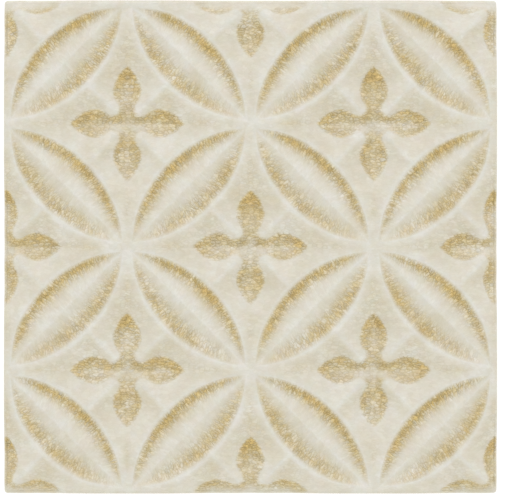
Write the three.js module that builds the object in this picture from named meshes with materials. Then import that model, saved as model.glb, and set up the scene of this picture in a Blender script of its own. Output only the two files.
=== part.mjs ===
import * as THREE from 'three';
import { ParametricGeometry } from 'three/addons/geometries/ParametricGeometry.js';
import { mergeGeometries, mergeVertices } from 'three/addons/utils/BufferGeometryUtils.js';

// A relief glazed wall tile, pressed and fired as one piece, lying face up.
// Millimetres, +Z up. The origin is the middle of the flat back.
//
// The face repeats an old ornament of overlapping circles. Circles stand round
// flowers on a square lattice, and each pair of neighbours crosses in a pointed
// petal. Four petals point at every node of the lattice, and the star-shaped
// field that is left round each flower is cut away towards it.

// Slab
const TILE_SIDE = 148;
const TILE_THICKNESS = 9;
const ARRIS_RADIUS = 1;
const BACK_CHAMFER = 0.8;
const EDGE_GATHER = 4;

// Petals: a wall falls from the rim to a trench, and a roof rises from it to the spine
const REPEATS = 2;
const RIM_BAND = 1.4;
const RIM_ROUNDING = 0.6;
const WALL_SLOPE = 0.36;
const ROOF_SLOPE = 0.28;
const TRENCH_ROUNDING = 0.9;
const SPINE_END_DROP = 0.9;

// Field: a ridge from each rim to the flower, a facet on both sides of it, and a
// hollow that sinks from the nodes towards the lobe tips. The hollow's sides are
// level at the node and the steeper the further they are from it.
const RIDGE_DROP = 0.05;
const RIDGE_SLOPE = 0.065;
const FACET_SLOPE = 0.275;
const VALLEY_ROUNDING = 0.8;
const HOLLOW_REACH = 27.5;
const HOLLOW_SLOPE = 0.212;
const HOLLOW_BEND = 7.5;
const HOLLOW_TWIST = 0.0125;
const FIELD_ROUNDING = 0.9;

// Flower: four lobes, each sunk along the valley between two facets, and a round
// dish where the four meet
const LOBE_LENGTH = 17.15;
const LOBE_WIDEST = 9.7;
const LOBE_HALF_WIDTH = 4.32;
const LOBE_TIP_ANGLE = 58;
const NECK_HALF_WIDTH = 2.35;
const CROOK_RADIUS = 2.15;
const CROOK_END_ANGLE = 310;
const LOBE_SLOPE = 0.05;
const LOBE_ROUNDING = 0.1;
const DISH_DEPTH = 1.55;
const DISH_REACH = 3.3;
const DISH_EDGE = 2;

// Steps of the curves, where the rows of the face's grids lie, and how close two
// vertices are when they are one
const RIM_STEPS = 7;
const ARRIS_STEPS = 2;
const CORNER_STEPS = 2;
const OUTLINE_STEPS = 64;
const OUTLINE_CROWDING = 1.6;
const FIELD_ROWS = [0, 0.45, 0.88, 1];
const ROOF_ROW = 0.85;
const TRENCH_LIMITS = [0.3, 0.8];
const WELD = 0.001;

// From a flower to the next node of the lattice
const flowerToNode = TILE_SIDE / REPEATS / 2;
const rimRadius = flowerToNode - RIM_BAND;
const spineDistance = flowerToNode * Math.SQRT1_2;
const petalHalfLength = Math.sqrt(rimRadius ** 2 - spineDistance ** 2);
const ridgeEnd = 2 * spineDistance - rimRadius;
const halfFace = TILE_SIDE / 2 - ARRIS_RADIUS;
const towardsFlower = THREE.MathUtils.degToRad(225);

// The larger or smaller of two heights, with the crease between them rounded
const roundedMax = (a, b, rounding) =>
  Math.max(a, b) + Math.max(rounding - Math.abs(a - b), 0) ** 2 / (4 * rounding);
const roundedMin = (a, b, rounding) => -roundedMax(-a, -b, rounding);

// Everything on the face is worked out in one eighth of a repeat: the triangle
// from a flower at (0, 0) to the middle of a petal and to a node at
// (flowerToNode, 0). Mirrors and quarter turns give the rest.

function lobeOutline() {
  // From the crook between two lobes, on the diagonal, to the lobe's tip
  const crook = NECK_HALF_WIDTH + CROOK_RADIUS;
  const leave = THREE.MathUtils.degToRad(CROOK_END_ANGLE);
  const tip = THREE.MathUtils.degToRad(LOBE_TIP_ANGLE);
  const from = new THREE.Vector2(Math.cos(leave), Math.sin(leave))
    .multiplyScalar(CROOK_RADIUS)
    .addScalar(crook);
  const bow = (LOBE_WIDEST - from.x) / 3;
  const tipBow = (LOBE_LENGTH - LOBE_WIDEST) / 3;
  const outline = new THREE.Path();
  outline.absarc(crook, crook, CROOK_RADIUS, towardsFlower, leave, false);
  outline.bezierCurveTo(
    from.x - bow * Math.sin(leave), from.y + bow * Math.cos(leave),
    LOBE_WIDEST - bow, LOBE_HALF_WIDTH,
    LOBE_WIDEST, LOBE_HALF_WIDTH,
  );
  outline.bezierCurveTo(
    LOBE_WIDEST + tipBow, LOBE_HALF_WIDTH,
    LOBE_LENGTH - tipBow * Math.cos(tip), tipBow * Math.sin(tip),
    LOBE_LENGTH, 0,
  );
  return outline;
}

const outline = lobeOutline();
const outlinePoints = outline.getSpacedPoints(OUTLINE_STEPS);

// How far a place is inside the flower's outline, negative outside it
function insideFlower(x, y) {
  let nearest = Infinity;
  let outlineHeight = Infinity;
  for (let i = 1; i < outlinePoints.length; i += 1) {
    const a = outlinePoints[i - 1];
    const b = outlinePoints[i];
    const lengthSquared = (b.x - a.x) ** 2 + (b.y - a.y) ** 2;
    const along = ((x - a.x) * (b.x - a.x) + (y - a.y) * (b.y - a.y)) / lengthSquared;
    const t = THREE.MathUtils.clamp(along, 0, 1);
    nearest = Math.min(nearest, Math.hypot(x - a.x - t * (b.x - a.x), y - a.y - t * (b.y - a.y)));
    if (x >= a.x && x <= b.x) outlineHeight = a.y + (b.y - a.y) * (x - a.x) / (b.x - a.x);
  }
  const inside = x < outlinePoints[0].x || (x < LOBE_LENGTH && y < outlineHeight);
  return inside ? nearest : -nearest;
}

// Height of the star-shaped field over a place, with the nodes at 0
function fieldHeight(x, y) {
  const alongRidge = (x + y) * Math.SQRT1_2;
  const acrossRidge = (x - y) * Math.SQRT1_2;
  const fill = Math.SQRT1_2 * (Math.hypot(y, VALLEY_ROUNDING) - y);
  const ridge = -RIDGE_DROP - RIDGE_SLOPE * (ridgeEnd - alongRidge);
  const facet = ridge - FACET_SLOPE * (acrossRidge - fill);
  const run = Math.max(HOLLOW_REACH - x, 0);
  const sink = run < HOLLOW_BEND ? run ** 2 / (2 * HOLLOW_BEND) : run - HOLLOW_BEND / 2;
  return roundedMax(facet, HOLLOW_TWIST * run * y - HOLLOW_SLOPE * sink, FIELD_ROUNDING);
}

// Height of a petal's wall and roof over a place
function petalHeight(x, y) {
  const fromCentre = Math.hypot(flowerToNode - x, flowerToNode - y);
  const shrink = rimRadius / fromCentre;
  const rimX = flowerToNode - (flowerToNode - x) * shrink;
  const rimY = flowerToNode - (flowerToNode - y) * shrink;
  const wall = fieldHeight(rimX, Math.max(rimY, 0)) - WALL_SLOPE * (rimRadius - fromCentre);
  const alongSpine = (x - y) * Math.SQRT1_2;
  const fromSpine = (flowerToNode - x - y) * Math.SQRT1_2;
  const spine = -SPINE_END_DROP * (alongSpine / petalHalfLength) ** 2;
  return roundedMax(wall, spine - ROOF_SLOPE * fromSpine, TRENCH_ROUNDING);
}

function faceHeight(x, y) {
  const inside = insideFlower(x, y);
  const cut = roundedMin(0, -LOBE_SLOPE * inside, LOBE_ROUNDING);
  const bowl = Math.exp(-(x ** 2 + y ** 2) / DISH_REACH ** 2);
  const dish = DISH_DEPTH * bowl * THREE.MathUtils.smoothstep(inside, 0, DISH_EDGE);
  const flower = fieldHeight(x, y) + cut - dish;
  return TILE_THICKNESS + roundedMin(flower, petalHeight(x, y), RIM_ROUNDING);
}

// A petal's rim, from the ridge (0) to the petal's tip (1)
function rimPoint(t) {
  const angle = towardsFlower + t * Math.acos(spineDistance / rimRadius);
  return new THREE.Vector2(
    flowerToNode + rimRadius * Math.cos(angle),
    flowerToNode + rimRadius * Math.sin(angle),
  );
}

// The columns of the field run from the flower's outline to the petal's rim, and
// the last one to the node. They crowd towards the lobe's tip.
const fieldColumns = RIM_STEPS + 1;
const node = new THREE.Vector2(flowerToNode, 0);
const outlineEnd = (u) => outline.getPointAt(1 - (1 - u) ** OUTLINE_CROWDING);

function rimEnd(u) {
  const onRim = u * fieldColumns < RIM_STEPS + 0.5;
  return onRim ? rimPoint(u * fieldColumns / RIM_STEPS) : node;
}

// Where the trench lies in a column of the petal, from the spine (0) to the rim (1)
function trenchShare(t) {
  const rim = rimPoint(t);
  const halfWidth = (flowerToNode - rim.x - rim.y) * Math.SQRT1_2;
  const spine = -SPINE_END_DROP * ((rim.x - rim.y) * Math.SQRT1_2 / petalHalfLength) ** 2;
  const wall = fieldHeight(rim.x, Math.max(rim.y, 0));
  const fromRim = (wall - spine + ROOF_SLOPE * halfWidth) / (WALL_SLOPE + ROOF_SLOPE);
  const [least, most] = TRENCH_LIMITS;
  return halfWidth > 0 ? THREE.MathUtils.clamp(1 - fromRim / halfWidth, least, most) : least;
}

// The three patches of an eighth, each a grid of columns u and rows v. A petal's
// rows are its rim, a third of the way up the wall, the trench and the spine.
const petal = {
  columns: RIM_STEPS,
  rows: 3,
  at(u, v) {
    const rim = rimPoint(u);
    const along = (rim.x - rim.y) / 2;
    const spine = new THREE.Vector2(flowerToNode / 2 + along, flowerToNode / 2 - along);
    const trench = trenchShare(u);
    const shares = [1, (1 + 2 * trench) / 3, trench * ROOF_ROW, 0];
    return spine.lerp(rim, shares[Math.round(v * petal.rows)]);
  },
};
const field = {
  columns: fieldColumns,
  rows: 3,
  at(u, v) {
    return outlineEnd(u).lerp(rimEnd(u), FIELD_ROWS[Math.round(v * field.rows)]);
  },
};
const flower = {
  columns: fieldColumns,
  rows: 2,
  at(u, v) {
    const edge = outlineEnd(u);
    const start = outlinePoints[0].x;
    const valley = new THREE.Vector2((edge.x - start) * LOBE_LENGTH / (LOBE_LENGTH - start), 0);
    return valley.lerp(edge, v);
  },
};

// Near the sides the face is drawn in, so that its rim leaves room for the arris
function drawnIn(place) {
  const reach = TILE_SIDE / 2 - EDGE_GATHER;
  const over = Math.max(Math.abs(place) - reach, 0);
  return place - Math.sign(place) * over * ARRIS_RADIUS / EDGE_GATHER;
}

function patchCopy(patch, centreX, centreY, quarterTurns, mirror) {
  const [cos, sin] = [[1, 0], [0, 1], [-1, 0], [0, -1]][quarterTurns];
  const copy = new ParametricGeometry((u, v, target) => {
    const { x, y } = patch.at(u, v);
    const height = faceHeight(x, y);
    const turnedX = centreX + cos * x - sin * mirror * y;
    const turnedY = centreY + sin * x + cos * mirror * y;
    target.set(drawnIn(turnedX), drawnIn(turnedY), height);
  }, patch.columns, patch.rows);
  if (mirror < 0) reverseFaces(copy);
  return copy;
}

function reverseFaces(geometry) {
  const corners = geometry.index.array;
  for (let i = 0; i < corners.length; i += 3) {
    [corners[i], corners[i + 1]] = [corners[i + 1], corners[i]];
  }
}

// Every eighth round every flower that lies on the tile
function facePatches() {
  const patches = [];
  const half = TILE_SIDE / 2;
  for (let i = -REPEATS; i <= REPEATS; i += 1) {
    for (let j = -REPEATS; j <= REPEATS; j += 1) {
      if ((i + j) % 2 !== 0) continue;
      for (let turn = 0; turn < 4; turn += 1) {
        for (const mirror of [1, -1]) {
          const middle = new THREE.Vector2(flowerToNode / 2, mirror * flowerToNode / 4)
            .rotateAround(new THREE.Vector2(), turn * Math.PI / 2)
            .add(new THREE.Vector2(i, j).multiplyScalar(flowerToNode));
          if (Math.max(Math.abs(middle.x), Math.abs(middle.y)) > half) continue;
          for (const patch of [petal, field, flower]) {
            patches.push(patchCopy(patch, i * flowerToNode, j * flowerToNode, turn, mirror));
          }
        }
      }
    }
  }
  return patches;
}

// The sides and the back: a section carried round the rim of the face. It turns
// down in the arris, drops down the side and comes in along the back's chamfer.
function sidesAndBack(face) {
  const place = face.getAttribute('position');
  const rim = [];
  for (let i = 0; i < place.count; i += 1) {
    const point = new THREE.Vector3().fromBufferAttribute(place, i);
    const reach = Math.max(Math.abs(point.x), Math.abs(point.y));
    if (reach > halfFace - WELD) rim.push(point);
  }
  rim.sort((a, b) => Math.atan2(a.y, a.x) - Math.atan2(b.y, b.x));

  // Each station is a rim point and the way out from it; a corner takes several
  const stations = [];
  for (const point of rim) {
    const onX = Math.abs(point.x) > halfFace - WELD;
    const onY = Math.abs(point.y) > halfFace - WELD;
    const steps = onX && onY ? CORNER_STEPS : 0;
    const outX = onX ? Math.sign(point.x) : 0;
    const outY = onY ? Math.sign(point.y) : 0;
    const middle = Math.atan2(outY, outX);
    for (let k = 0; k <= steps; k += 1) {
      const turn = steps ? (k / steps - 0.5) * Math.PI / 2 : 0;
      stations.push({ point, x: Math.cos(middle + turn), y: Math.sin(middle + turn) });
    }
  }

  const section = [];
  for (let k = 0; k <= ARRIS_STEPS; k += 1) {
    const angle = k / ARRIS_STEPS * Math.PI / 2;
    const out = ARRIS_RADIUS * Math.sin(angle);
    section.push((z) => [out, z - ARRIS_RADIUS * (1 - Math.cos(angle))]);
  }
  section.push(() => [ARRIS_RADIUS, BACK_CHAMFER]);
  section.push(() => [ARRIS_RADIUS - BACK_CHAMFER, 0]);

  const positions = [];
  const corners = [];
  for (const level of section) {
    for (const { point, x, y } of stations) {
      const [out, z] = level(point.z);
      positions.push(point.x + x * out, point.y + y * out, z);
    }
  }
  const count = stations.length;
  const backMiddle = section.length * count;
  positions.push(0, 0, 0);
  for (let k = 0; k < count; k += 1) {
    const next = (k + 1) % count;
    for (let ring = 0; ring < section.length - 1; ring += 1) {
      const above = ring * count;
      const below = above + count;
      corners.push(above + k, below + k, below + next);
      corners.push(above + k, below + next, above + next);
    }
    const last = (section.length - 1) * count;
    corners.push(last + k, backMiddle, last + next);
  }
  const geometry = new THREE.BufferGeometry();
  geometry.setAttribute('position', new THREE.Float32BufferAttribute(positions, 3));
  geometry.setIndex(corners);
  return geometry;
}

// Joins loose sheets at their shared vertices and drops faces that have no area
function joined(sheets) {
  for (const sheet of sheets) {
    sheet.deleteAttribute('normal');
    sheet.deleteAttribute('uv');
  }
  const merged = mergeVertices(mergeGeometries(sheets), WELD);
  const corners = merged.index.array;
  const kept = [];
  for (let i = 0; i < corners.length; i += 3) {
    const [a, b, c] = corners.slice(i, i + 3);
    if (a !== b && b !== c && c !== a) kept.push(a, b, c);
  }
  merged.setIndex(kept);
  return merged;
}

const face = joined(facePatches());
const body = joined([face, sidesAndBack(face)]);
body.computeVertexNormals();

const glaze = new THREE.MeshStandardMaterial({ color: 0xdcd5c3, roughness: 0.3, metalness: 0 });
const tileBody = new THREE.Mesh(body, glaze);
tileBody.name = 'tile_body';

const tile = new THREE.Group();
tile.add(tileBody);

export default tile;
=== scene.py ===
"""Looks of a relief glazed wall tile: its crackle glaze, its bare clay and the studio.

The tile is one fired piece. Its face is worked out in one eighth of the ornament's
repeat, as three grids of two parameters, and turned and mirrored over the whole
tile. The sides and the back are a section carried round the face. Sizes are in
millimetres until a mesh is made, and Blender's metres from there on.
"""

import logging
import math
from collections.abc import Callable
from dataclasses import dataclass
from enum import Enum

import bpy
import numpy as np
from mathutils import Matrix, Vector


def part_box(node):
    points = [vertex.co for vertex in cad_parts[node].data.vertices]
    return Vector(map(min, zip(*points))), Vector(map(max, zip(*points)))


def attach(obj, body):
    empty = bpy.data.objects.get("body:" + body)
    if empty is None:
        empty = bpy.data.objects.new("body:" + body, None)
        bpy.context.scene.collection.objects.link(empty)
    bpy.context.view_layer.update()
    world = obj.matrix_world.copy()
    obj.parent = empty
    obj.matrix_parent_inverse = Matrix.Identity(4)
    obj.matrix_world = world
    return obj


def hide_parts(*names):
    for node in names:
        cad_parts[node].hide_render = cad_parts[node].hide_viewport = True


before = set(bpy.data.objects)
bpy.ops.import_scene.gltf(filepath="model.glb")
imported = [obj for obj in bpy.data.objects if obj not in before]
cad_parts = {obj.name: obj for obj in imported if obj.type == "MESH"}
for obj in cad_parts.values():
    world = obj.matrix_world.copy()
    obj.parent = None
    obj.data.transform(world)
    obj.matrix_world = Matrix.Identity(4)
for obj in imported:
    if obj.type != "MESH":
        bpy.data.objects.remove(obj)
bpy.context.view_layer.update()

Node = bpy.types.Node
Socket = bpy.types.NodeSocket
Tree = bpy.types.NodeTree
Setting = Socket | float | tuple[float, ...]

LOG = logging.getLogger("tile")
MM = 0.001
HALF_ROOT = math.sqrt(0.5)
INWARD = 225.0  # degrees: the way down the eighth's diagonal, towards the flower's middle
JOIN = 1e-4  # places nearer to each other than this are one


def linear(colour: str) -> tuple[float, float, float, float]:
    """Turn an sRGB hex colour into linear light.

    Args:
        colour: Six hex digits, such as "dedbce".

    Returns:
        Red, green, blue and an alpha of one.
    """
    parts = [int(colour[k:k + 2], 16) / 255 for k in (0, 2, 4)]
    light = [c / 12.92 if c <= 0.04045 else ((c + 0.055) / 1.055) ** 2.4 for c in parts]
    return (*light, 1.0)


def smooth_step(low: float, high: float, value: np.ndarray) -> np.ndarray:
    """Rise from 0 at low to 1 at high with level ends.

    Args:
        low: Where the rise starts.
        high: Where it ends.
        value: The places asked for.

    Returns:
        Three t squared less two t cubed, where t is the share of the way.
    """
    t = np.clip((value - low) / (high - low), 0, 1)
    return t * t * (3 - 2 * t)


def rounded_max(a: np.ndarray, b: np.ndarray, rounding: float) -> np.ndarray:
    """Take the larger of two heights and round the crease between them.

    Args:
        a: First heights.
        b: Second heights.
        rounding: Difference of height under which the crease is filled.

    Returns:
        The larger height, plus a parabola where the two are close.
    """
    near = np.maximum(rounding - np.abs(a - b), 0)
    return np.maximum(a, b) + near ** 2 / (4 * rounding)


def rounded_min(a: np.ndarray, b: np.ndarray, rounding: float) -> np.ndarray:
    """Take the smaller of two heights and round the ridge between them.

    Args:
        a: First heights.
        b: Second heights.
        rounding: Difference of height under which the ridge is rubbed down.

    Returns:
        The smaller height, less a parabola where the two are close.
    """
    return -rounded_max(-a, -b, rounding)


def soft_length(distance: np.ndarray, rounding: float) -> np.ndarray:
    """Measure how far off a crease places are, rounded at the crease itself.

    Args:
        distance: Distance from the crease.
        rounding: Radius over which the crease is rounded.

    Returns:
        The hypotenuse of the distance and the rounding, less the rounding.
    """
    return np.hypot(distance, rounding) - rounding


def swell(share: np.ndarray, before: np.ndarray | float, after: float) -> np.ndarray:
    """Rise from 0 to 1 at a share of 1 and die away beyond it.

    Args:
        share: How far along, as a share of the way to the top.
        before: How sharply it rises.
        after: How sharply it dies away.

    Returns:
        The share times e to the one less the share, to either power.
    """
    return (share * np.exp(1 - share)) ** np.where(share < 1, before, after)


def bezier(points: list[tuple[float, float]], count: int) -> np.ndarray:
    """Sample a cubic Bezier curve.

    Args:
        points: Start, two handles and end.
        count: How many places along it.

    Returns:
        The places, one row each: the four points weighted by the cubic
        Bernstein polynomials.
    """
    t = np.linspace(0, 1, count)[:, None]
    a, b, c, d = (np.array(p) for p in points)
    return (1 - t) ** 3 * a + 3 * (1 - t) ** 2 * t * b + 3 * (1 - t) * t ** 2 * c + t ** 3 * d


@dataclass(frozen=True)
class Ornament:
    """The relief's sizes in millimetres, in one eighth of a repeat.

    The eighth is the triangle from a flower at (0, 0) to the middle of a petal
    and to the lattice's node at (flower_to_node, 0). The values come in groups:
    the petal, the field, the flower and the steps along the flower's outline.
    """

    flower_to_node: float = 37.0
    rim_band: float = 1.4
    rim_rounding: float = 0.6
    wall_slope: float = 0.36
    roof_slope: float = 0.28
    trench_rounding: float = 0.9
    spine_end_drop: float = 0.9
    spine_rounding: float = 0.25

    ridge_drop: float = 0.05
    ridge_slope: float = 0.065
    facet_slope: float = 0.275
    ridge_rounding: float = 0.07
    valley_rounding: float = 0.8
    hollow_reach: float = 27.5
    hollow_slope: float = 0.212
    hollow_bend: float = 7.5
    hollow_twist: float = 0.0125
    hollow_rounding: float = 0.5
    field_rounding: float = 0.9

    lobe_length: float = 17.15
    lobe_widest: float = 9.7
    lobe_half_width: float = 4.32
    lobe_tip_angle: float = 58.0
    neck_half_width: float = 2.35
    crook_radius: float = 2.15
    crook_end_angle: float = 310.0
    lobe_slope: float = 0.05
    lobe_rounding: float = 0.1
    dish_depth: float = 1.55
    dish_reach: float = 3.3
    dish_edge: float = 2.0

    crook_steps: int = 24
    shoulder_steps: int = 40
    end_steps: int = 48

    @property
    def rim_radius(self) -> float:
        """Radius of a petal's rim about the flower on the petal's other side."""
        return self.flower_to_node - self.rim_band

    @property
    def spine_distance(self) -> float:
        """From a flower to the spine of the petals round it."""
        return self.flower_to_node * HALF_ROOT

    @property
    def petal_half_length(self) -> float:
        """From a petal's middle to its tip."""
        return math.sqrt(self.rim_radius ** 2 - self.spine_distance ** 2)

    def lobe_outline(self) -> np.ndarray:
        """Trace a lobe's edge from the crook between two lobes to its tip.

        Returns:
            Places along it: an arc round the crook, then two cubic curves that
            meet level where the lobe is widest.
        """
        crook = self.neck_half_width + self.crook_radius
        leave = math.radians(self.crook_end_angle)
        tip = math.radians(self.lobe_tip_angle)
        turn = np.radians(np.linspace(INWARD, self.crook_end_angle, self.crook_steps))
        arc = crook + self.crook_radius * np.stack([np.cos(turn), np.sin(turn)], axis=1)
        start = arc[-1]
        bow = (self.lobe_widest - start[0]) / 3
        tip_bow = (self.lobe_length - self.lobe_widest) / 3
        widest = (self.lobe_widest, self.lobe_half_width)
        shoulder = bezier([
            tuple(start),
            (start[0] - bow * math.sin(leave), start[1] + bow * math.cos(leave)),
            (self.lobe_widest - bow, self.lobe_half_width),
            widest,
        ], self.shoulder_steps)
        end = bezier([
            widest,
            (self.lobe_widest + tip_bow, self.lobe_half_width),
            (self.lobe_length - tip_bow * math.cos(tip), tip_bow * math.sin(tip)),
            (self.lobe_length, 0),
        ], self.end_steps)
        return np.concatenate([arc, shoulder[1:], end[1:]])

    def outline_at(self, share: np.ndarray) -> np.ndarray:
        """Find places on a lobe's edge.

        Args:
            share: How far along the edge, from the crook (0) to the tip (1).

        Returns:
            The places, spaced by the edge's length.
        """
        line = self.lobe_outline()
        run = np.concatenate([[0], np.cumsum(np.hypot(*np.diff(line, axis=0).T))])
        where = share * run[-1]
        return np.stack([np.interp(where, run, line[:, 0]), np.interp(where, run, line[:, 1])], axis=-1)

    def rim_at(self, share: np.ndarray) -> np.ndarray:
        """Find places on a petal's rim.

        Args:
            share: How far along the arc, from the ridge (0) to the tip (1).

        Returns:
            The places, on a circle about the flower across the petal.
        """
        angle = math.radians(INWARD) + share * math.acos(self.spine_distance / self.rim_radius)
        reach = self.rim_radius
        return self.flower_to_node + reach * np.stack([np.cos(angle), np.sin(angle)], axis=-1)

    def inside_flower(self, x: np.ndarray, y: np.ndarray) -> np.ndarray:
        """Measure how far places are inside the flower's outline.

        Args:
            x: Places along the lobe.
            y: Places across it.

        Returns:
            The distance to the nearest stretch of the outline, negative outside.
        """
        line = self.lobe_outline()
        start, step = line[:-1], np.diff(line, axis=0)
        px = x[..., None] - start[:, 0]
        py = y[..., None] - start[:, 1]
        along = np.clip((px * step[:, 0] + py * step[:, 1]) / (step ** 2).sum(axis=1), 0, 1)
        gap = np.hypot(px - along * step[:, 0], py - along * step[:, 1]).min(axis=-1)
        height = np.interp(x, line[:, 0], line[:, 1], left=np.inf, right=-np.inf)
        return np.where(y < height, gap, -gap)

    def inside_rim(self, x: np.ndarray, y: np.ndarray) -> np.ndarray:
        """Measure how far places are inside a petal's rim.

        Args:
            x: Places along the lobe.
            y: Places across it.

        Returns:
            The distance to the rim, negative outside it.
        """
        return self.rim_radius - np.hypot(self.flower_to_node - x, self.flower_to_node - y)

    def field_height(self, x: np.ndarray, y: np.ndarray) -> np.ndarray:
        """Work out the star-shaped field, with the lattice's nodes at 0.

        Args:
            x: Places along the lobe.
            y: Places across it.

        Returns:
            The higher of a facet and a hollow. The facet falls away from the
            ridge, and is filled a little where two of them meet in a valley. The
            hollow sinks from the node towards the lobe's tip, along a parabola
            that runs on straight, and its floor rises to either side.
        """
        along = (x + y) * HALF_ROOT
        across = soft_length((x - y) * HALF_ROOT, self.ridge_rounding)
        ridge_end = 2 * self.spine_distance - self.rim_radius
        fill = HALF_ROOT * (np.hypot(y, self.valley_rounding) - y)
        ridge = -self.ridge_drop - self.ridge_slope * (ridge_end - along)
        facet = ridge - self.facet_slope * (across - fill)
        run = np.maximum(self.hollow_reach - x, 0)
        bend = self.hollow_bend
        sink = np.where(run < bend, run ** 2 / (2 * bend), run - bend / 2)
        lift = self.hollow_twist * run * soft_length(y, self.hollow_rounding)
        return rounded_max(facet, lift - self.hollow_slope * sink, self.field_rounding)

    def petal_height(self, x: np.ndarray, y: np.ndarray) -> np.ndarray:
        """Work out a petal's wall, trench and roof.

        Args:
            x: Places along the lobe.
            y: Places across it.

        Returns:
            The higher of a wall that falls from the rim and a roof that falls
            from the spine, with the trench between them filled round.
        """
        to_centre = self.flower_to_node - np.stack([x, y])
        from_centre = np.hypot(*to_centre)
        rim = self.flower_to_node - to_centre * self.rim_radius / from_centre
        rim_height = self.field_height(rim[0], np.maximum(rim[1], 0))
        wall = rim_height - self.wall_slope * (self.rim_radius - from_centre)
        share = (x - y) * HALF_ROOT / self.petal_half_length
        spine = -self.spine_end_drop * share ** 2
        from_spine = (self.flower_to_node - x - y) * HALF_ROOT
        roof = spine - self.roof_slope * soft_length(from_spine, self.spine_rounding)
        return rounded_max(wall, roof, self.trench_rounding)

    def relief(self, x: np.ndarray, y: np.ndarray) -> np.ndarray:
        """Work out the face's height over places in the eighth.

        Args:
            x: Places along the lobe.
            y: Places across it.

        Returns:
            The field with the flower cut into it, or the petal where it is lower.
            A lobe's floor falls away from its outline, and the flower's middle is
            dished in the shape of a bell curve that ends before the outline.
        """
        inside = self.inside_flower(x, y)
        cut = rounded_min(np.zeros_like(x), -self.lobe_slope * inside, self.lobe_rounding)
        bowl = np.exp(-(x ** 2 + y ** 2) / self.dish_reach ** 2)
        dish = self.dish_depth * bowl * smooth_step(0, self.dish_edge, inside)
        field = self.field_height(x, y) + cut - dish
        return rounded_min(field, self.petal_height(x, y), self.rim_rounding)

    def folded(self, x: np.ndarray, y: np.ndarray) -> tuple[np.ndarray, np.ndarray]:
        """Fold places that lie just outside the eighth back into it.

        Args:
            x: Places along the lobe.
            y: Places across it.

        Returns:
            The places mirrored in whichever of its three sides they are beyond.
        """
        x, y = np.maximum(x, np.abs(y)), np.minimum(x, np.abs(y))
        over = np.maximum(x + y - self.flower_to_node, 0)
        return x - over, y - over

    def change(self, quantity: Callable[[np.ndarray, np.ndarray], np.ndarray], x: np.ndarray,
               y: np.ndarray, step: float = 0.12) -> np.ndarray:
        """Measure how fast a quantity changes over the eighth.

        Args:
            quantity: What is measured, as a function of x and y in the eighth.
            x: Places along the lobe.
            y: Places across it.
            step: Distance to either side over which it is measured.

        Returns:
            The change in a millimetre along x and along y, a row for each place.
        """
        def along(dx: float, dy: float) -> np.ndarray:
            """Take the difference across each place, along one way."""
            ahead = quantity(*self.folded(x + dx, y + dy))
            return (ahead - quantity(*self.folded(x - dx, y - dy))) / (2 * step)
        return np.stack([along(step, 0), along(0, step)], axis=1)


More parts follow.
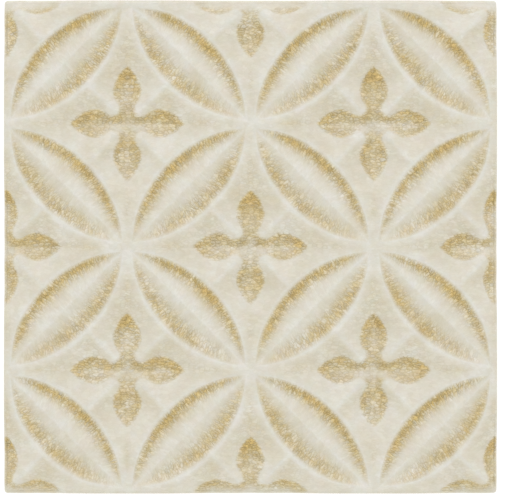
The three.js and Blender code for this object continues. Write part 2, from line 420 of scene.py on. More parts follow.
@dataclass(frozen=True)
class Pooling:
    """How the poured glaze lies over one eighth of a repeat. Lengths are in millimetres.

    A depth is about 0 where the glaze is thin and 0.7 where it is thickest. A pair is
    where something starts and where it is complete. The values come in groups: the
    petal, the flower, the field and how freely a pool's edge wanders.
    """

    ornament: Ornament = Ornament()
    film: float = 0.015

    foot_depth: float = 0.325
    foot_reach: float = 1.96
    foot_rise: float = 3.6
    foot_rise_power: float = 3.2
    foot_fade: float = 10.4
    sheet_depth: float = 0.467
    sheet_reach: float = 2.91
    sheet_rise: float = 4.3
    usual_width: float = 9.4
    narrowest: float = 0.05
    narrowing: float = 0.88
    widths: tuple[float, float] = (-0.4, 8.8)
    middle_gain: float = 0.17
    middle_reach: float = 2.4

    centre_depth: float = 0.28
    outward_gain: float = 0.0318
    outward_reach: float = 11.0
    tip_depth: float = 0.1
    tip: tuple[float, float] = (12.6, 13.6)
    outline: tuple[float, float] = (-0.55, 0.95)
    inner_loss: float = 0.14
    inner_start: float = 1.6
    # A rise towards a lobe's tip that is not in the relief; it only strengthens the glaze's run and the
    # painted shade there.
    tip_run_and_shade_rise: float = 0.14
    end: tuple[float, float] = (12.6, 13.4)
    end_outline: tuple[float, float] = (-0.2, 0.4)

    field_depth: float = 0.08
    rim_fade: float = 0.9
    rim_fade_gain: float = 0.13
    off_ridge: tuple[float, float] = (0.15, 1.6)
    off_centre: tuple[float, float] = (3.0, 10.0)
    node_loss: float = 0.8
    near_node: tuple[float, float] = (26.0, 34.0)
    valley_depth: float = 0.08
    valley_reach: float = 1.3
    valley_start: tuple[float, float] = (17.0, 21.0)
    valley_end: tuple[float, float] = (26.0, 32.0)
    crest_lightening: float = 0.028
    crest_width: float = 0.35
    crest_offset: float = 0.2

    wander: tuple[float, float] = (0.8, 3.0)
    field_wander: float = 0.5

    def run_and_shade_slope(self, x: np.ndarray, y: np.ndarray) -> np.ndarray:
        """Measure which way and how steeply the glaze's bed rises, which sets the glaze's run and the
        painted shade.

        Args:
            x: Places along the lobe.
            y: Places across it.

        Returns:
            The rise along x and along y, a row for each place. Towards a lobe's tip a rise is added that is
            not in the relief, so that the run and the painted shade are stronger there.
        """
        rise = self.ornament.change(self.ornament.relief, x, y)
        rise[:, 0] += (self.tip_run_and_shade_rise * smooth_step(*self.end, x)
                       * smooth_step(*self.end_outline, self.ornament.inside_flower(x, y)))
        return rise

    def edge(self, x: np.ndarray, y: np.ndarray) -> np.ndarray:
        """Measure how sharply the pooled glaze ends, where its edge is free to wander.

        Args:
            x: Places along the lobe.
            y: Places across it.

        Returns:
            How much the depth changes in a millimetre, whichever way it does most,
            less outside the petals, and nothing at the foot of a petal's wall, where
            the edge is straight.
        """
        inside_rim = self.ornament.inside_rim(x, y)
        free = np.where(inside_rim > 0, smooth_step(*self.wander, inside_rim), self.field_wander)
        return free * np.hypot(*self.ornament.change(self.depth, x, y).T)

    def trench(self, x: np.ndarray, y: np.ndarray) -> np.ndarray:
        """Work out how thick the glaze lies in a petal.

        Args:
            x: Places along the lobe.
            y: Places across it.

        Returns:
            A narrow pool at the foot of the wall on a wider one that thins out up
            the roof, two swells of the distance inside the rim. Both draw together
            and run out towards the petal's tips.
        """
        shape = self.ornament
        along = (x - y) * HALF_ROOT
        width = np.sqrt(np.maximum(shape.rim_radius ** 2 - along ** 2, 0)) - shape.spine_distance
        wide = np.maximum(width, self.narrowest) / self.usual_width
        reach = np.maximum(shape.inside_rim(x, y), 0) / wide ** self.narrowing
        rise = self.foot_rise * wide ** self.foot_rise_power
        foot = self.foot_depth * swell(reach / self.foot_reach, rise, self.foot_fade)
        sheet = self.sheet_depth * swell(reach / self.sheet_reach, self.sheet_rise, self.sheet_rise)
        middle = 1 + self.middle_gain * np.exp(-(along / self.middle_reach) ** 2)
        return (foot + sheet) * smooth_step(*self.widths, width) * middle

    def flower(self, x: np.ndarray, y: np.ndarray) -> np.ndarray:
        """Work out how thick the glaze lies in the flower.

        Args:
            x: Places along the lobe.
            y: Places across it.

        Returns:
            A depth that grows outward and once more at the tip, and is a little
            less away from the outline.
        """
        inside = self.ornament.inside_flower(x, y)
        depth = self.centre_depth + self.outward_gain * np.minimum(np.hypot(x, y), self.outward_reach)
        depth += self.tip_depth * smooth_step(*self.tip, x)
        inner = 1 - self.inner_loss * np.maximum(inside - self.inner_start, 0)
        return depth * smooth_step(*self.outline, inside) * inner

    def field(self, x: np.ndarray, y: np.ndarray) -> np.ndarray:
        """Work out how thick the glaze lies in the field.

        Args:
            x: Places along the lobe.
            y: Places across it.

        Returns:
            A little off the ridge, away from the rim, the flower's middle and the
            node, and a little along the valley between lobe and node.
        """
        along = (x - y) * HALF_ROOT
        fade = -self.ornament.inside_rim(x, y) / (self.rim_fade + self.rim_fade_gain * along)
        facet = smooth_step(*self.off_ridge, along) * smooth_step(0, 1, fade)
        facet *= smooth_step(*self.off_centre, np.hypot(x, y))
        facet *= 1 - self.node_loss * smooth_step(*self.near_node, x)
        valley = np.exp(-y / self.valley_reach) * smooth_step(*self.valley_start, x)
        valley *= 1 - smooth_step(*self.valley_end, x)
        return self.field_depth * facet + self.valley_depth * valley

    def depth(self, x: np.ndarray, y: np.ndarray) -> np.ndarray:
        """Work out how thick the glaze lies over places in the eighth.

        Args:
            x: Places along the lobe.
            y: Places across it.

        Returns:
            The deepest of petal, flower and field over an even film, less a bell curve of the distance along
            spines, ridges and rims, which makes them lighter.
        """
        shape = self.ornament
        from_spine = (shape.flower_to_node - x - y) * HALF_ROOT
        along = (x - y) * HALF_ROOT
        crest = np.exp(-(np.minimum(from_spine, along) / self.crest_width) ** 2)
        crest *= smooth_step(0, 1, -shape.inside_flower(x, y))
        rim = np.exp(-((shape.inside_rim(x, y) + self.crest_offset) / self.crest_width) ** 2)
        pooled = np.maximum(np.maximum(self.trench(x, y), self.flower(x, y)), self.field(x, y))
        return self.film + pooled - self.crest_lightening * np.maximum(crest, rim)


class Winding(Enum):
    """Which way round a grid's quads list their corners, as the step through them."""

    ALONG = 1
    AGAINST = -1


def spread(count: int) -> np.ndarray:
    """Space rows from 0 to 1 so that they crowd at both ends, as a cosine does.

    Args:
        count: How many rows.

    Returns:
        The rows' shares.
    """
    return (1 - np.cos(np.linspace(0, math.pi, count))) / 2


def grid_faces(rows: int, columns: int) -> np.ndarray:
    """Number the corners of a grid's quads.

    Args:
        rows: Rows of places.
        columns: Places in a row.

    Returns:
        Four corner numbers for each quad, turning from row to column.
    """
    corner = (np.arange(rows - 1)[:, None] * columns + np.arange(columns - 1)).ravel()
    return np.stack([corner, corner + 1, corner + columns + 1, corner + columns], axis=1)


@dataclass
class TileMesh:
    """The tile's one closed surface: face, arris, sides and back.

    Sizes are in millimetres.
    """

    side: float
    thickness: float
    pooling: Pooling = Pooling()
    repeats: int = 2
    arris_radius: float = 1.0
    back_chamfer: float = 0.8
    edge_gather: float = 4.0
    rim_steps: int = 22
    tip_crowding: float = 1.6
    node_steps: int = 2
    petal_rows: int = 20
    field_rows: int = 17
    flower_rows: int = 12
    arris_steps: int = 6
    side_steps: int = 4
    corner_steps: int = 6
    # Painted shade on slopes that face -Y, away from the key light: the first value alone is painted shade,
    # the second is painted shade and the glaze's run together.
    painted_shade_lean: float = 0.1
    deep_run_and_shade: float = 1.0
    steepest: float = 0.6
    side_coat: float = 0.06
    top_thinning: float = 0.8
    foot_thinning: float = 0.55
    edge_reach: float = 4.5
    hub_number: tuple[float, float] = (0.5, 1.3)
    ripple_height: float = 0.03
    ripple_lengths: tuple[float, ...] = (7.0, 11.0, 17.0, 26.0)
    ripple_ways: int = 3
    ripple_seed: int = 7

    @classmethod
    def from_box(cls, low: Vector, high: Vector) -> "TileMesh":
        """Size the tile by its plain solid.

        Args:
            low: The solid's lowest corner in metres.
            high: Its highest corner.

        Returns:
            The tile's surface, as wide and as thick to a thousandth of a millimetre.
        """
        size = [round((top - bottom) / MM, 3) for bottom, top in zip(low, high)]
        return cls(side=size[0], thickness=size[2])

    @property
    def ornament(self) -> Ornament:
        """The relief that the glaze lies on."""
        return self.pooling.ornament

    def eighth(self) -> tuple[np.ndarray, np.ndarray]:
        """Build the three grids of an eighth of a repeat.

        Returns:
            Places in the eighth and the corners of its quads. The petal's grid
            runs from the spine to the rim, the field's from the flower to the
            rim and the node, and the flower's from its valley to its outline.
        """
        shape = self.ornament
        arc = np.linspace(0, 1, self.rim_steps + 1)
        rim = shape.rim_at(arc)
        run = (rim[:, 0] - rim[:, 1]) / 2
        middle = shape.flower_to_node / 2
        spine = np.stack([middle + run, middle - run], axis=1)
        petal = spine + (rim - spine) * spread(self.petal_rows)[:, None, None]

        to_node = np.linspace(0, 1, self.node_steps + 1)[1:, None]
        node = np.array([shape.flower_to_node, 0.0])
        far = np.concatenate([rim, rim[-1] + (node - rim[-1]) * to_node])
        share = np.linspace(0, 1, len(far))
        near = shape.outline_at(1 - (1 - share) ** self.tip_crowding)
        star = near + (far - near) * spread(self.field_rows)[:, None, None]

        start = near[0, 0]
        floor = np.zeros_like(near)
        floor[:, 0] = (near[:, 0] - start) * shape.lobe_length / (shape.lobe_length - start)
        flower = floor + (near - floor) * spread(self.flower_rows)[:, None, None]

        places, faces, count = [], [], 0
        for grid, winding in ((petal, Winding.AGAINST), (star, Winding.ALONG), (flower, Winding.ALONG)):
            rows, columns, _ = grid.shape
            places.append(grid.reshape(-1, 2))
            faces.append(grid_faces(rows, columns)[:, ::winding.value] + count)
            count += rows * columns
        return np.concatenate(places), np.concatenate(faces)

    def copies(self) -> list[tuple[np.ndarray, np.ndarray]]:
        """List how the eighth is turned, mirrored and moved over the tile.

        Returns:
            A matrix and a move for each copy whose middle lies on the tile.
        """
        step = self.ornament.flower_to_node
        turns = [np.array([[c, -s], [s, c]]) for c, s in ((1, 0), (0, 1), (-1, 0), (0, -1))]
        mirrors = [np.diag([1, m]) for m in (1, -1)]
        middle = np.array([step / 2, step / 4])
        found = []
        for i in range(-self.repeats, self.repeats + 1):
            for j in range(-self.repeats, self.repeats + 1):
                if (i + j) % 2:
                    continue
                move = np.array([i, j]) * step
                for turn in turns:
                    for mirror in mirrors:
                        matrix = turn @ mirror
                        if np.abs(matrix @ middle + move).max() < self.side / 2:
                            found.append((matrix, move))
        return found

    def drawn_in(self, places: np.ndarray) -> np.ndarray:
        """Draw the face in near the sides, to leave room for the arris.

        Args:
            places: Places on the face.

        Returns:
            The places, with the outermost band of edge_gather pressed narrower
            by the arris's radius.
        """
        over = np.maximum(np.abs(places) - (self.side / 2 - self.edge_gather), 0)
        return places - np.sign(places) * over * self.arris_radius / self.edge_gather

    def ripple(self, places: np.ndarray) -> np.ndarray:
        """Work out the slow waves that a poured glaze dries with.

        Args:
            places: Places on the face.

        Returns:
            A sum of sines in seeded directions and phases, a few hundredths of a
            millimetre high, with its highest crest at 0.
        """
        random = np.random.default_rng(self.ripple_seed)
        height = np.zeros(len(places))
        for length in self.ripple_lengths:
            for turn in random.uniform(0, math.tau, self.ripple_ways):
                way = np.array([math.cos(turn), math.sin(turn)]) * math.tau / length
                height += np.sin(places @ way + random.uniform(0, math.tau))
        return (height - height.max()) * self.ripple_height / len(self.ripple_lengths)

    def ran_and_painted_shade(self, pool: np.ndarray, rise: np.ndarray) -> np.ndarray:
        """Paint shade into the glaze's depth on slopes that face away from the key light, together with how
        the glaze ran while the tile dried, leaning on one side.

        Args:
            pool: How thick the glaze would lie on a level tile.
            rise: The face's slope towards the tile's +Y side.

        Returns:
            How thick it is painted: thicker, so darker and more amber, on the slopes that face -Y, away from
                the key light, and the more so where it is deep already. The part that does not grow with
                depth is painted shade alone.
        """
        rise = np.clip(rise, -self.steepest, self.steepest)
        return pool + (self.painted_shade_lean + self.deep_run_and_shade * pool) * rise

    def thinned(self, places: np.ndarray) -> np.ndarray:
        """Work out what share of the glaze stays near the +Y and -Y sides, where it drains off.

        Args:
            places: Places on the face.

        Returns:
            1 within the face, falling by top_thinning towards the +Y side and by
            foot_thinning towards the -Y side.
        """
        loss = np.where(places[:, 1] > 0, self.top_thinning, self.foot_thinning)
        return 1 - loss * smooth_step(-self.edge_reach, 0, np.abs(places[:, 1]) - self.side / 2)

    def weave(self, places: np.ndarray, hub: np.ndarray) -> np.ndarray:
        """Lay out where the crackle is read, so that it runs down into the trenches.

        Args:
            places: Places of one copy of the eighth, its petal's first.
            hub: The flower across the petal, about which the petal's rim turns.

        Returns:
            Three numbers in millimetres for each place: in the petal the way in
            from its rim, the way along it and one number of the hub's own, and
            elsewhere the place itself.
        """
        petal = np.arange(len(places)) < self.petal_rows * (self.rim_steps + 1)
        way = places - hub
        inward = self.ornament.rim_radius - np.hypot(*way.T)
        along = self.ornament.rim_radius * np.arctan2(way[:, 1], way[:, 0])
        own = np.full(len(places), hub @ self.hub_number)
        level = np.column_stack([places, np.zeros(len(places))])
        return np.where(petal[:, None], np.stack([inward, along, own], axis=1), level)

    def face(self) -> tuple[np.ndarray, np.ndarray, np.ndarray]:
        """Build the whole face.

        Returns:
            Places in space, a row of surface values for each, and the quads' corners, with the copies joined
            where they meet. The values are the glaze's depth, which holds painted shade on slopes that face
            away from the key light, how sharply it changes and where the crackle is read.
        """
        flat, quads = self.eighth()
        height = self.thickness + self.ornament.relief(*flat.T)
        pool = self.pooling.depth(*flat.T)
        run_and_shade_slope = self.pooling.run_and_shade_slope(*flat.T)
        edge = self.pooling.edge(*flat.T)
        laid, turned, depth = [], [], []
        copies = self.copies()
        for number, (matrix, move) in enumerate(copies):
            laid.append(flat @ matrix.T + move)
            # Painted shade: the glaze is made deeper, so darker and more amber, on slopes that face away
            # from the key light, together with its run.
            ran_and_shaded = self.ran_and_painted_shade(pool, (run_and_shade_slope @ matrix.T)[:, 1])
            hub = move + matrix @ np.full(2, self.ornament.flower_to_node)
            depth.append(np.column_stack([ran_and_shaded, edge, self.weave(laid[-1], hub)]))
            winding = Winding.AGAINST if np.linalg.det(matrix) < 0 else Winding.ALONG
            turned.append(quads[:, ::winding.value] + number * len(flat))
        laid = np.concatenate(laid)
        keys = np.round(laid / JOIN).astype(np.int64)
        _, first, back = np.unique(keys, axis=0, return_index=True, return_inverse=True)
        places = laid[first]
        height = np.tile(height, len(copies))[first] + self.ripple(places)
        glaze = np.concatenate(depth)[first]
        glaze[:, 0] *= self.thinned(places)
        return np.column_stack([self.drawn_in(places), height]), glaze, back.ravel()[np.concatenate(turned)]

    def round_the_face(self, face: np.ndarray) -> tuple[np.ndarray, np.ndarray]:
        """List the stations of the face's rim in order, going round it.

        Args:
            face: Places of the face.

        Returns:
            The number of each station's place and the way out from it. A corner
            has several stations, which fan out round it.
        """
        edge = self.side / 2 - self.arris_radius - 10 * JOIN
        on = np.abs(face[:, :2]) > edge
        rim = np.nonzero(on.any(axis=1))[0]
        rim = rim[np.argsort(np.arctan2(face[rim, 1], face[rim, 0]))]
        out = np.sign(face[rim, :2]) * on[rim]
        fan = np.where(on[rim].all(axis=1), self.corner_steps, 0)
        number = np.repeat(np.arange(len(rim)), fan + 1)
        step = np.arange(len(number)) - np.searchsorted(number, number)
        turn = (step / np.maximum(fan[number], 1) - 0.5) * (fan[number] > 0) * math.pi / 2
        angle = np.arctan2(out[number, 1], out[number, 0]) + turn
        return rim[number], np.stack([np.cos(angle), np.sin(angle)], axis=1)

    def skirt(self, face: np.ndarray) -> tuple[np.ndarray, np.ndarray]:
        """Carry the edge's section round the face: arris, side and back chamfer.

        Args:
            face: Places of the face.

        Returns:
            Rings of places, and the number of the face's place over each station.
            The arris is a quarter circle from the face's own height, and the
            side drops straight to the chamfer.
        """
        rim, out = self.round_the_face(face)
        radius = self.arris_radius
        angle = np.linspace(0, math.pi / 2, self.arris_steps + 1)
        reach = list(radius * np.sin(angle))
        top = face[rim, 2]
        levels = [top - radius * (1 - math.cos(a)) for a in angle]
        for share in np.linspace(0, 1, self.side_steps + 1)[1:]:
            reach.append(radius)
            levels.append(levels[self.arris_steps] * (1 - share) + self.back_chamfer * share)
        reach.append(radius - self.back_chamfer)
        levels.append(np.zeros(len(rim)))
        plan = face[rim, :2] + out * np.array(reach)[:, None, None]
        return np.concatenate([plan, np.array(levels)[..., None]], axis=2), rim

    def build(self) -> tuple[np.ndarray, list[np.ndarray], np.ndarray]:
        """Join the face, the skirt and the back into one closed surface.

        Returns:
            Places in millimetres, groups of faces, and a row of surface values for
            each place. The skirt's first ring is the face's own rim, and the back
            is a fan about its middle. The glaze thins out over the arris to an
            even coat on the sides, where the crackle is read at the place itself.
        """
        face, glaze, quads = self.face()
        rings, rim = self.skirt(face)
        rows, columns, _ = rings.shape
        new = rings[1:].reshape(-1, 3)
        numbers = np.vstack([rim, len(face) + np.arange(len(new)).reshape(rows - 1, columns)])
        upper, lower = numbers[:-1], numbers[1:]
        after = np.roll(numbers, -1, axis=1)
        walls = np.stack([upper, lower, after[1:], after[:-1]], axis=2).reshape(-1, 4)
        middle = len(face) + len(new)
        back = np.stack([numbers[-1], np.full(columns, middle), after[-1]], axis=1)
        places = np.vstack([face, new, [[0, 0, 0]]])
        left = np.clip(1 - np.arange(1, rows) / self.arris_steps, 0, 1)[:, None, None]
        coat = np.array([self.side_coat, 0.0])
        sides = (coat + (glaze[rim, :2] - coat) * left).reshape(-1, 2)
        below = np.column_stack([np.vstack([sides, coat]), places[len(face):] - (0, 0, self.thickness)])
        return places, [quads, walls, back], np.vstack([glaze, below])


def clean_faces(groups: list[np.ndarray]) -> tuple[np.ndarray, np.ndarray, np.ndarray]:
    """Turn quads and triangles into loops, dropping repeated corners.

    Args:
        groups: Arrays of faces, each with one number of corners.

    Returns:
        All corners in a row, each face's first corner and each face's length.
        A quad that has folded to a line is left out.
    """
    corners, lengths = [], []
    for faces in groups:
        keep = faces != np.roll(faces, -1, axis=1)
        sound = keep.sum(axis=1) >= 3
        corners.append(faces[sound][keep[sound]])
        lengths.append(keep[sound].sum(axis=1))
    length = np.concatenate(lengths)
    starts = np.concatenate([[0], np.cumsum(length)[:-1]])
    return np.concatenate(corners), starts, length


def add_node(tree: Tree, kind: str, settings: dict[str, str] | None = None, **inputs: Setting) -> Node:
    """Add a node with its settings, values and links.

    Args:
        tree: The tree it goes into.
        kind: The node's Blender type.
        settings: Properties of the node itself.
        **inputs: A value or an output socket for each input, by name with
            underscores for spaces, or by number after "in".

    Returns:
        The new node.
    """
    node = tree.nodes.new(kind)
    for name, value in (settings or {}).items():
        setattr(node, name, value)
    for name, value in inputs.items():
        key = int(name[2:]) if name[:2] == "in" and name[2:].isdigit() else name.replace("_", " ")
        if isinstance(value, Socket):
            tree.links.new(value, node.inputs[key])
        else:
            node.inputs[key].default_value = value
    return node


def math_node(tree: Tree, operation: str, *inputs: Setting) -> Socket:
    """Add a math node and return its result."""
    named = {f"in{number}": value for number, value in enumerate(inputs)}
    return add_node(tree, "ShaderNodeMath", {"operation": operation}, **named).outputs[0]


def vector_node(tree: Tree, operation: str, *inputs: Setting, **more: Setting) -> Socket:
    """Add a vector math node and return its result."""
    named = {f"in{number}": value for number, value in enumerate(inputs)}
    return add_node(tree, "ShaderNodeVectorMath", {"operation": operation}, **named, **more).outputs[0]


def noise(tree: Tree, place: Socket, size: float, **more: Setting) -> Node:
    """Add noise whose lumps are about size long, in the unit that place is read in."""
    return add_node(tree, "ShaderNodeTexNoise", Vector=place, Scale=1 / size, **more)


def smooth_range(tree: Tree, value: Socket, **more: Setting) -> Socket:
    """Carry a value from one range to another with level ends."""
    settings = {"interpolation_type": "SMOOTHSTEP"}
    return add_node(tree, "ShaderNodeMapRange", settings, Value=value, **more).outputs[0]


@dataclass(frozen=True)
class CrackleGlaze:
    """Cream tin-white crackle glaze over pressed earthenware.

    Lengths are in millimetres. The crackle is two nets of cells, a large and a fine
    one. A tone makes the glaze look deeper, and a shade makes it lighter or darker.
    The values come in groups: the glaze's colour by its depth, the crackle, the
    clouds, the line where the glaze ends and the clay below it.
    """

    depths: tuple[float, ...] = (-0.05, 0.0, 0.05, 0.15, 0.25, 0.45, 0.65, 0.85, 1.15)
    tones: tuple[str, ...] = ("e0ded4", "dddacd", "dbd6c6", "d5ceb9", "d4cab0",
                              "cec09c", "cab88b", "cab47f", "caaf6f")
    roughness: float = 0.28

    cell: float = 0.8
    cell_stretch: float = 2.0
    cell_spread: float = 1.0
    cell_warp: float = 0.7
    warp_size: float = 1.6
    cell_tone: float = 0.5
    cell_shade: float = 0.32
    crack: float = 0.22
    crack_share: float = 0.44
    crack_tone: float = 0.36
    crack_shade: float = 0.29
    fine_cell: float = 0.5
    fine_stretch: float = 1.7
    fine_crack: float = 0.22
    fine_share: float = 0.42
    fine_shade: float = 0.3
    dome: float = 0.2
    dome_edge: float = 0.45
    quiet: float = 0.09
    least_grain: float = 0.01
    grain_power: float = 0.65
    grain: float = 0.05

    mottle: float = 9.0
    mottle_roughness: float = 0.68
    mottle_tone: float = 0.38
    mottle_pool: float = 1.4
    tint: float = 0.07
    tint_size: float = 3.0
    wobble: float = 1.8
    wobble_size: float = 0.9
    wobble_stretch: float = 3.0
    wobble_roughness: float = 0.75

    glaze_line: float = 3.6
    glaze_line_run: float = 1.6
    glaze_line_size: float = 12.0
    glaze_line_blur: float = 0.1

    clay: str = "e6dccd"
    clay_dark: str = "d3c5b1"
    clay_cloud: float = 14.0
    clay_grain: float = 0.4
    clay_lump: float = 0.05
    clay_roughness: float = 0.9

    def material(self) -> bpy.types.Material:
        """Build the shader of the glaze and of the clay below its line.

        Returns:
            The material.
        """
        # Cream crackle glaze, poured over pressed white earthenware and fired. It ran off the crests and
        # stands honey coloured in the hollows. Crazing split it into small domed cells on cooling and the
        # cracks took up a stain. The depth it is coloured by also holds painted shade: darker and more amber
        # on slopes that face away from the key light.
        material = bpy.data.materials.new("crackle_glaze")
        material.use_nodes = True
        tree = material.node_tree
        tree.nodes.clear()
        place = add_node(tree, "ShaderNodeTexCoord").outputs["Object"]
        weave = add_node(tree, "ShaderNodeAttribute", {"attribute_name": "weave"}).outputs["Vector"]
        depth = self.wobbled(tree, weave)
        strength = math_node(tree, "SUBTRACT", depth, self.quiet)
        strength = math_node(tree, "MAXIMUM", strength, self.least_grain)
        strength = math_node(tree, "POWER", strength, self.grain_power)
        crack, fine, cell, light, dome = self.net(tree, weave)
        tone = math_node(tree, "MULTIPLY_ADD", crack, self.crack_tone,
                         math_node(tree, "MULTIPLY", cell, self.cell_tone))
        cloud = noise(tree, place, self.mottle * MM, Detail=4.0, Roughness=self.mottle_roughness)
        cloud = math_node(tree, "SUBTRACT", cloud.outputs["Fac"], 0.5)
        depth = math_node(tree, "MULTIPLY_ADD", cloud, self.mottle_tone, depth)
        tone = math_node(tree, "MULTIPLY_ADD", cloud, self.mottle_pool, tone)
        depth = math_node(tree, "MULTIPLY_ADD", tone, strength, depth)
        shade = math_node(tree, "MULTIPLY_ADD", crack, -self.crack_shade,
                          math_node(tree, "MULTIPLY", light, self.cell_shade))
        shade = math_node(tree, "MULTIPLY_ADD", fine, -self.fine_shade, shade)
        level = math_node(tree, "MULTIPLY_ADD", light, self.grain, 1.0)
        shade = math_node(tree, "MULTIPLY_ADD", shade, strength, level)
        tint = noise(tree, place, self.tint_size * MM, Detail=3.0).outputs["Color"]
        tint = vector_node(tree, "MULTIPLY_ADD", tint, (self.tint,) * 3, (1 - self.tint / 2,) * 3)
        tint = vector_node(tree, "MULTIPLY", tint, self.ramp(tree, depth))
        colour = vector_node(tree, "SCALE", tint, Scale=shade)
        lump = math_node(tree, "MULTIPLY", dome, strength)
        bump = add_node(tree, "ShaderNodeBump", Height=lump, Distance=self.dome * MM).outputs["Normal"]
        glaze = add_node(tree, "ShaderNodeBsdfPrincipled", Base_Color=colour, Roughness=self.roughness,
                         Normal=bump)
        both = add_node(tree, "ShaderNodeMixShader", in0=self.glazed(tree, place),
                        in1=self.bare_clay(tree, place), in2=glaze.outputs["BSDF"])
        add_node(tree, "ShaderNodeOutputMaterial", Surface=both.outputs["Shader"])
        return material

    def wobbled(self, tree: Tree, place: Socket) -> Socket:
        """Let the edges of the pools wander.

        Args:
            tree: The material's tree.
            place: Where the pattern is read, in millimetres.

        Returns:
            How thick the glaze lies, with each edge pushed to and fro by noise: the
            depth plus its change in a millimetre times the push in millimetres.
        """
        # The pool attribute holds the glaze's depth with painted shade on slopes that face away from the key
        # light.
        pool, edge = (add_node(tree, "ShaderNodeAttribute", {"attribute_name": name}).outputs["Fac"]
                      for name in ("pool", "edge"))
        place = vector_node(tree, "MULTIPLY", place, (1 / self.wobble_stretch, 1.0, 1.0))
        push = noise(tree, place, self.wobble_size, Detail=3.0, Roughness=self.wobble_roughness)
        push = math_node(tree, "MULTIPLY_ADD", push.outputs["Fac"], self.wobble, -self.wobble / 2)
        return math_node(tree, "MULTIPLY_ADD", push, edge, pool)

    def glazed(self, tree: Tree, place: Socket) -> Socket:
        """Find the part of the tile that the glaze covers.

        Args:
            tree: The material's tree.
            place: Where the pattern is read.

        Returns:
            1 above a line round the sides, which wanders where the glaze ran, and
            0 below it.
        """
        height = add_node(tree, "ShaderNodeSeparateXYZ", Vector=place).outputs["Z"]
        run = noise(tree, place, self.glaze_line_size * MM).outputs["Fac"]
        run = math_node(tree, "MULTIPLY", run, self.glaze_line_run * MM)
        above = math_node(tree, "ADD", height, run)
        line = (self.glaze_line + self.glaze_line_run / 2) * MM
        blur = self.glaze_line_blur * MM
        return smooth_range(tree, above, From_Min=line - blur, From_Max=line + blur)

    def bare_clay(self, tree: Tree, place: Socket) -> Socket:
        """Build the shader of the unglazed body.

        Args:
            tree: The material's tree.
            place: Where the pattern is read.

        Returns:
            A matt shader with faint clouds and grain.
        """
        # White earthenware, pressed damp into its mould and fired. The back and the
        # foot of the sides took no glaze.
        cloud = noise(tree, place, self.clay_cloud * MM, Detail=5.0).outputs["Fac"]
        colour = add_node(tree, "ShaderNodeMix", {"data_type": "RGBA"}, in0=cloud,
                          in6=linear(self.clay), in7=linear(self.clay_dark)).outputs[2]
        grain = noise(tree, place, self.clay_grain * MM, Detail=2.0).outputs["Fac"]
        bump = add_node(tree, "ShaderNodeBump", Height=grain, Distance=self.clay_lump * MM).outputs["Normal"]
        return add_node(tree, "ShaderNodeBsdfPrincipled", Base_Color=colour, Roughness=self.clay_roughness,
                        Normal=bump).outputs["BSDF"]

    def ramp(self, tree: Tree, depth: Socket) -> Socket:
        """Build the glaze's colour by its depth.

        Args:
            tree: The material's tree.
            depth: How thick the glaze lies.

        Returns:
            The colour.
        """
        low, high = self.depths[0], self.depths[-1]
        share = add_node(tree, "ShaderNodeMapRange", Value=depth, From_Min=low, From_Max=high).outputs[0]
        ramp = add_node(tree, "ShaderNodeValToRGB", Fac=share)
        stops = ramp.color_ramp.elements
        stops[0].color, stops[1].color = linear(self.tones[0]), linear(self.tones[-1])
        for level, tone in zip(self.depths[1:-1], self.tones[1:-1]):
            stops.new((level - low) / (high - low)).color = linear(tone)
        return ramp.outputs["Color"]

    def net(self, tree: Tree, place: Socket) -> tuple[Socket, ...]:
        """Build the net of cracks and the cells between them.

        Args:
            tree: The material's tree.
            place: Where the pattern is read, in millimetres.

        Returns:
            The large and the fine cracks (highest in a crack, 0 on the whole),
            each large cell's own tone and lightness (-0.5 to 0.5) and the large
            cells' domes (1 on top).
        """
        warp = noise(tree, place, self.warp_size).outputs["Color"]
        warp = vector_node(tree, "SCALE", warp, Scale=self.cell_warp)
        large = self.cells(tree, place, warp, self.cell, self.cell_stretch)
        crack = self.gap(tree, large[0], self.crack, self.crack_share)
        own = add_node(tree, "ShaderNodeSeparateColor", Color=large[1])
        cell, light = (math_node(tree, "SUBTRACT", own.outputs[number], 0.5) for number in (0, 1))
        fine = self.cells(tree, place, warp, self.fine_cell, self.fine_stretch)
        fine_crack = self.gap(tree, fine[0], self.fine_crack, self.fine_share)
        dome = smooth_range(tree, large[0], From_Max=self.dome_edge)
        return crack, fine_crack, cell, light, dome

    def cells(self, tree: Tree, place: Socket, warp: Socket, size: float,
              stretch: float) -> tuple[Socket, Socket]:
        """Split the surface into cells, longer down the trenches and, elsewhere, along the tile's X.

        Args:
            tree: The material's tree.
            place: Where the pattern is read, in millimetres.
            warp: How far it is pushed about.
            size: A cell's width in millimetres.
            stretch: How many times longer than wide it is.

        Returns:
            The distance to the cell's edge and the cell's own colour.
        """
        place = vector_node(tree, "MULTIPLY_ADD", place, (1 / stretch, 1.0, 1.0), warp)
        edge, own = (add_node(tree, "ShaderNodeTexVoronoi", {"feature": feature}, Vector=place,
                              Scale=1 / size, Randomness=self.cell_spread)
                     for feature in ("DISTANCE_TO_EDGE", "F1"))
        return edge.outputs["Distance"], own.outputs["Color"]

    def gap(self, tree: Tree, edge: Socket, width: float, share: float) -> Socket:
        """Draw the cracks between cells.

        Args:
            tree: The material's tree.
            edge: Distance to a cell's edge.
            width: How far a crack reaches into a cell, as a share of its size.
            share: How much of the surface is crack, which is taken off.

        Returns:
            The crack, highest at the edge and 0 on the whole.
        """
        return smooth_range(tree, edge, From_Max=width, To_Min=1 - share, To_Max=-share)


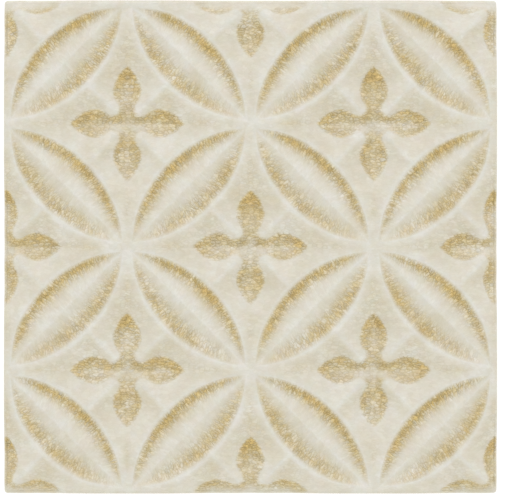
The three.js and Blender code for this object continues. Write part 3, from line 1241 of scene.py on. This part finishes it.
@dataclass
class Tile:
    """The fired tile as one dressed piece."""

    mesh: TileMesh
    glaze: CrackleGlaze = CrackleGlaze()
    crease_angle: float = 35.0

    def build(self) -> bpy.types.Object:
        """Make the tile's object in place of the plain solid.

        Returns:
            The object, riding on the part's only body.
        """
        places, groups, glaze = self.mesh.build()
        corners, starts, lengths = clean_faces(groups)
        data = bpy.data.meshes.new("glazed_tile")
        data.vertices.add(len(places))
        data.loops.add(len(corners))
        data.polygons.add(len(starts))
        data.vertices.foreach_set("co", (places * MM).ravel())
        data.loops.foreach_set("vertex_index", corners)
        data.polygons.foreach_set("loop_start", starts)
        data.polygons.foreach_set("loop_total", lengths)
        data.update(calc_edges=True)
        data.validate(verbose=False)
        # The pool attribute holds the glaze's depth with painted shade on slopes that face away from the key
        # light.
        for name, values in zip(("pool", "edge"), glaze.T):
            surface = data.attributes.new(name, "FLOAT", "POINT")
            surface.data.foreach_set("value", np.ascontiguousarray(values))
        weave = data.attributes.new("weave", "FLOAT_VECTOR", "POINT")
        weave.data.foreach_set("vector", np.ascontiguousarray(glaze[:, 2:]).ravel())
        data.polygons.foreach_set("use_smooth", np.ones(len(data.polygons), dtype=bool))
        data.set_sharp_from_angle(angle=math.radians(self.crease_angle))
        data.materials.append(self.glaze.material())
        tile = bpy.data.objects.new("glazed_tile", data)
        bpy.context.scene.collection.objects.link(tile)
        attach(tile, "root")
        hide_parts("tile_body")
        LOG.info("glazed_tile: %d places, %d faces", len(data.vertices), len(data.polygons))
        return tile


@dataclass
class Studio:
    """A pale floor, soft light from the top of the picture and the camera.

    Lengths are in metres, apart from the camera's sensor and what is in pixels.
    """

    frame_width: float = 0.1514
    picture: tuple[int, int] = (505, 495)
    pattern_centre: tuple[float, float] = (250.5, 246.9)
    camera_height: float = 1.0
    face_height: float = 0.0085
    sensor: float = 36.0
    nearest_seen: float = 0.01
    floor_half: float = 1.5
    floor_level: float = 0.00015
    floor_colour: str = "b4b4b4"
    floor_glow: float = 0.68
    floor_roughness: float = 0.9
    key_place: tuple[float, float, float] = (0.0, 3.5, 3.5)
    key_side: float = 4.0
    key_power: float = 46.0
    key_tint: str = "fff0ff"
    room_light: float = 0.905
    room_tint: str = "fefffd"

    def floor(self) -> bpy.types.Object:
        """Lay the floor under the tile, a hair above its back so that the two faces never coincide.

        Returns:
            The floor.
        """
        half, level = self.floor_half, self.floor_level
        corners = [(-half, -half, level), (half, -half, level), (half, half, level), (-half, half, level)]
        data = bpy.data.meshes.new("floor")
        data.from_pydata(corners, [], [(0, 1, 2, 3)])
        # Matt white card, with a little light of its own so that it shows as white as in
        # the photograph.
        material = bpy.data.materials.new("pale_floor")
        material.use_nodes = True
        shader = material.node_tree.nodes["Principled BSDF"]
        shader.inputs["Base Color"].default_value = linear(self.floor_colour)
        shader.inputs["Roughness"].default_value = self.floor_roughness
        shader.inputs["Emission Color"].default_value = linear("ffffff")
        shader.inputs["Emission Strength"].default_value = self.floor_glow
        data.materials.append(material)
        floor = bpy.data.objects.new("floor", data)
        bpy.context.scene.collection.objects.link(floor)
        return floor

    def key(self) -> None:
        """Hang the one lamp, a square soft light that faces the tile."""
        data = bpy.data.lights.new("key", "AREA")
        data.energy = self.key_power
        data.color = linear(self.key_tint)[:3]
        data.size = self.key_side
        lamp = bpy.data.objects.new("key", data)
        lamp.location = self.key_place
        lamp.rotation_euler = (-Vector(self.key_place)).to_track_quat("-Z", "Y").to_euler()
        bpy.context.scene.collection.objects.link(lamp)

    def room(self) -> None:
        """Fill the room with even white light."""
        world = bpy.data.worlds.new("studio")
        world.use_nodes = True
        background = world.node_tree.nodes["Background"]
        background.inputs["Color"].default_value = linear(self.room_tint)
        background.inputs["Strength"].default_value = self.room_light
        bpy.context.scene.world = world

    def camera(self) -> None:
        """Hang the camera straight over the tile, as the photograph was taken.

        The lens is worked out so that the face's plane shows frame_width metres
        across the picture, and the camera stands so that the middle flower falls
        on pattern_centre.
        """
        data = bpy.data.cameras.new("camera")
        data.sensor_width = self.sensor
        data.lens = self.sensor * (self.camera_height - self.face_height) / self.frame_width
        data.dof.use_dof = False
        data.clip_start = self.nearest_seen
        pixel = self.frame_width / self.picture[0]
        camera = bpy.data.objects.new("camera", data)
        camera.location = (
            (self.picture[0] / 2 - self.pattern_centre[0]) * pixel,
            -(self.picture[1] / 2 - self.pattern_centre[1]) * pixel,
            self.camera_height,
        )
        bpy.context.scene.collection.objects.link(camera)
        bpy.context.scene.camera = camera

    def build(self) -> None:
        """Set up the floor, the lights, the room and the camera."""
        bpy.context.scene.view_settings.view_transform = "Standard"
        self.floor()
        self.key()
        self.room()
        self.camera()
        LOG.info("studio: floor, key light, room and camera")


def main() -> None:
    """Build the studio and the tile, in order, and report each piece."""
    logging.basicConfig(level=logging.INFO, format="%(message)s")
    Studio().build()
    Tile(TileMesh.from_box(*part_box("tile_body"))).build()


if __name__ == "__main__":
    main()
